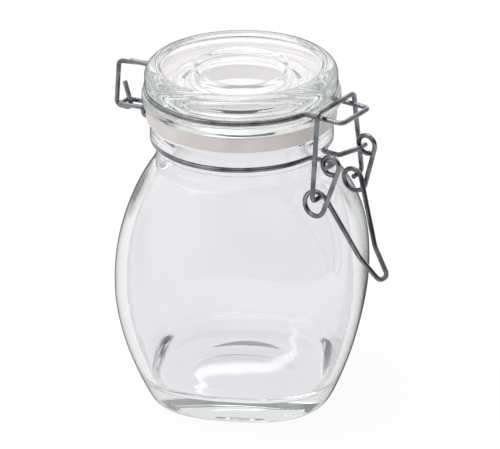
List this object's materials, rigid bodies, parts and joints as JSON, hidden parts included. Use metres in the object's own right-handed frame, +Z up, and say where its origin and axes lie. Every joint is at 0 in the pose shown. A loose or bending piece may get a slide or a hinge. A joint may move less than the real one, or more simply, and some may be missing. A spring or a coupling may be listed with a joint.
{
  "type": "lidded glass canister",
  "caption": "Small bulging glass canister with a hinged glass lid, a rubber gasket and a bent-wire clamp that pulls the lid down over centre.",
  "frame": {"origin": "centre of the jar's base, on the plane it stands on", "axes": "+Z up along the neck's axis, -Y towards the lever, +Y towards the lid's hinge, X along the hinge and pivot axes"},
  "size_m": [0.0674, 0.0805, 0.087],
  "materials": {
    "jar_glass": "clear pressed glass",
    "lid_glass": "clear pressed glass",
    "gasket_rubber": "matt off-white rubber",
    "clamp_wire": "drawn steel wire"
  },
  "bodies": {
    "jar": {"jar": "jar_glass", "neck_ring": "clamp_wire"},
    "lid": {"lid": "lid_glass", "gasket": "gasket_rubber", "lid_ring": "clamp_wire"},
    "lever": {"lever": "clamp_wire"},
    "link": {"link": "clamp_wire"}
  },
  "joints": [
    {"name": "lid_open", "type": "hinge", "parent": "jar", "child": "lid", "pos_m": [0, 0.0359, 0.0684], "axis": [-1, 0, 0], "range_deg": [0, 205]},
    {"name": "lever_swing", "type": "hinge", "parent": "jar", "child": "lever", "pos_m": [0, -0.03035, 0.0696], "axis": [-1, 0, 0], "range_deg": [0, 110]},
    {"name": "link_swing", "type": "hinge", "parent": "lever", "child": "link", "pos_m": [0, -0.0279, 0.06105], "axis": [-1, 0, 0], "range_deg": [-121, 0]}
  ],
  "couplings": [
    {"joint": "link_swing", "follows": "lever_swing", "ratio": -1.1}
  ]
}
